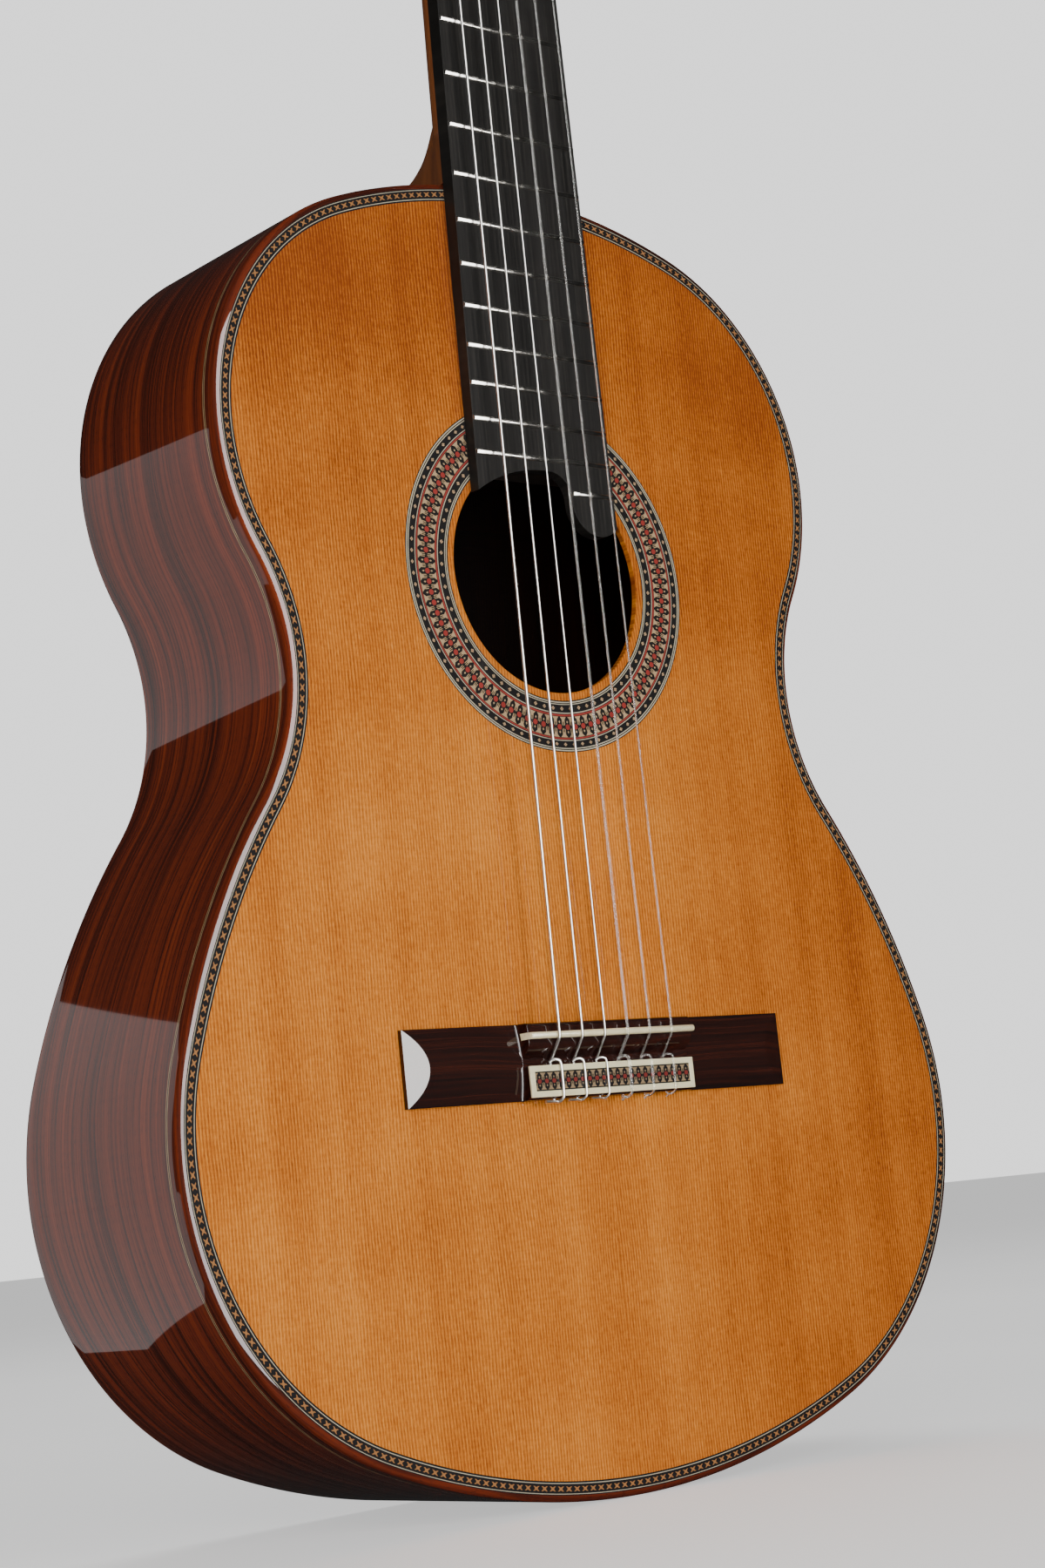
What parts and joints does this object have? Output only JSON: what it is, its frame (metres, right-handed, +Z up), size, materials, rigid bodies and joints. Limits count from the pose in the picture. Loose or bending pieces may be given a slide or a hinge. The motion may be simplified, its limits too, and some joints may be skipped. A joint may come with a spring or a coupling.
{
  "type": "classical guitar",
  "caption": "Classical guitar: hollow cedar-front body with rosewood back and sides, slotted head, geared tuners, nylon strings tied at the bridge.",
  "frame": {"origin": "at the nut, on the centre line, in the plane of the soundboard's face, where a hanger's yoke holds the neck", "axes": "+Z up the neck from the tail to the head, +X across the guitar towards the thin strings, +Y from the front to the back"},
  "size_m": [0.3706, 0.1176, 0.9978],
  "materials": {
    "cedar": "gloss lacquer over fine straight grain",
    "mosaic": "inlaid veneers under gloss lacquer",
    "pale_line": "gloss lacquer",
    "rosewood": "deep gloss lacquer over dark striped grain",
    "spruce": "bare wood",
    "cedrela": "satin lacquer",
    "ebony": "oiled satin",
    "fret_wire": "polished nickel silver",
    "bone": "polished bone",
    "nylon": "clear nylon",
    "wound_string": "silver-plated winding",
    "button": "polished black",
    "roller": "polished cream",
    "brass": "polished, slightly worn"
  },
  "bodies": {
    "root": {"soundboard": "cedar", "rosette": "mosaic", "top_purfling": "mosaic", "top_binding": "rosewood", "side_purfling": "pale_line", "side_bass": "rosewood", "side_treble": "rosewood", "back_bass": "rosewood", "back_treble": "rosewood", "back_centre_strip": "pale_line", "back_binding": "rosewood", "linings": "spruce", "tail_block": "spruce", "end_graft": "rosewood", "neck": "cedrela", "heel_cap": "rosewood", "top_braces": "spruce", "back_braces": "spruce", "fingerboard": "ebony", "frets": "fret_wire", "nut": "bone", "headstock": "cedrela", "head_veneer": "rosewood", "bridge": "rosewood", "saddle": "bone", "tie_block_frame": "bone", "tie_block_inlay": "mosaic", "string_1": "nylon", "string_2": "nylon", "string_3": "nylon", "string_4": "wound_string", "string_5": "wound_string", "string_6": "wound_string", "tuner_plate_bass": "brass", "tuner_plate_treble": "brass", "tuner_screws": "brass"},
    "worm_1": {"tuner_worm_1": "brass", "tuner_button_1": "button"},
    "roller_1": {"tuner_gear_1": "brass", "tuner_roller_1": "roller"},
    "worm_2": {"tuner_worm_2": "brass", "tuner_button_2": "button"},
    "roller_2": {"tuner_gear_2": "brass", "tuner_roller_2": "roller"},
    "worm_3": {"tuner_worm_3": "brass", "tuner_button_3": "button"},
    "roller_3": {"tuner_gear_3": "brass", "tuner_roller_3": "roller"},
    "worm_4": {"tuner_worm_4": "brass", "tuner_button_4": "button"},
    "roller_4": {"tuner_gear_4": "brass", "tuner_roller_4": "roller"},
    "worm_5": {"tuner_worm_5": "brass", "tuner_button_5": "button"},
    "roller_5": {"tuner_gear_5": "brass", "tuner_roller_5": "roller"},
    "worm_6": {"tuner_worm_6": "brass", "tuner_button_6": "button"},
    "roller_6": {"tuner_gear_6": "brass", "tuner_roller_6": "roller"}
  },
  "joints": [
    {"name": "worm_1_turn", "type": "hinge", "parent": "root", "child": "worm_1", "pos_m": [0.0405, 0.01679, 0.04647], "axis": [0, 0.9686, -0.2487], "continuous": true},
    {"name": "roller_1_turn", "type": "hinge", "parent": "root", "child": "roller_1", "pos_m": [0.02, 0.01927, 0.05611], "axis": [1, 0, 0], "continuous": true},
    {"name": "worm_2_turn", "type": "hinge", "parent": "root", "child": "worm_2", "pos_m": [0.0405, 0.0255, 0.08037], "axis": [0, 0.9686, -0.2487], "continuous": true},
    {"name": "roller_2_turn", "type": "hinge", "parent": "root", "child": "roller_2", "pos_m": [0.02, 0.02797, 0.09001], "axis": [1, 0, 0], "continuous": true},
    {"name": "worm_3_turn", "type": "hinge", "parent": "root", "child": "worm_3", "pos_m": [0.0405, 0.0342, 0.11427], "axis": [0, 0.9686, -0.2487], "continuous": true},
    {"name": "roller_3_turn", "type": "hinge", "parent": "root", "child": "roller_3", "pos_m": [0.02, 0.03667, 0.12391], "axis": [1, 0, 0], "continuous": true},
    {"name": "worm_4_turn", "type": "hinge", "parent": "root", "child": "worm_4", "pos_m": [-0.0405, 0.0342, 0.11427], "axis": [0, 0.9686, -0.2487], "continuous": true},
    {"name": "roller_4_turn", "type": "hinge", "parent": "root", "child": "roller_4", "pos_m": [-0.02, 0.03667, 0.12391], "axis": [1, 0, 0], "continuous": true},
    {"name": "worm_5_turn", "type": "hinge", "parent": "root", "child": "worm_5", "pos_m": [-0.0405, 0.0255, 0.08037], "axis": [0, 0.9686, -0.2487], "continuous": true},
    {"name": "roller_5_turn", "type": "hinge", "parent": "root", "child": "roller_5", "pos_m": [-0.02, 0.02797, 0.09001], "axis": [1, 0, 0], "continuous": true},
    {"name": "worm_6_turn", "type": "hinge", "parent": "root", "child": "worm_6", "pos_m": [-0.0405, 0.01679, 0.04647], "axis": [0, 0.9686, -0.2487], "continuous": true},
    {"name": "roller_6_turn", "type": "hinge", "parent": "root", "child": "roller_6", "pos_m": [-0.02, 0.01927, 0.05611], "axis": [1, 0, 0], "continuous": true}
  ],
  "couplings": [
    {"joint": "roller_1_turn", "follows": "worm_1_turn", "ratio": -0.071429},
    {"joint": "roller_2_turn", "follows": "worm_2_turn", "ratio": -0.071429},
    {"joint": "roller_3_turn", "follows": "worm_3_turn", "ratio": -0.071429},
    {"joint": "roller_4_turn", "follows": "worm_4_turn", "ratio": -0.071429},
    {"joint": "roller_5_turn", "follows": "worm_5_turn", "ratio": -0.071429},
    {"joint": "roller_6_turn", "follows": "worm_6_turn", "ratio": -0.071429}
  ]
}
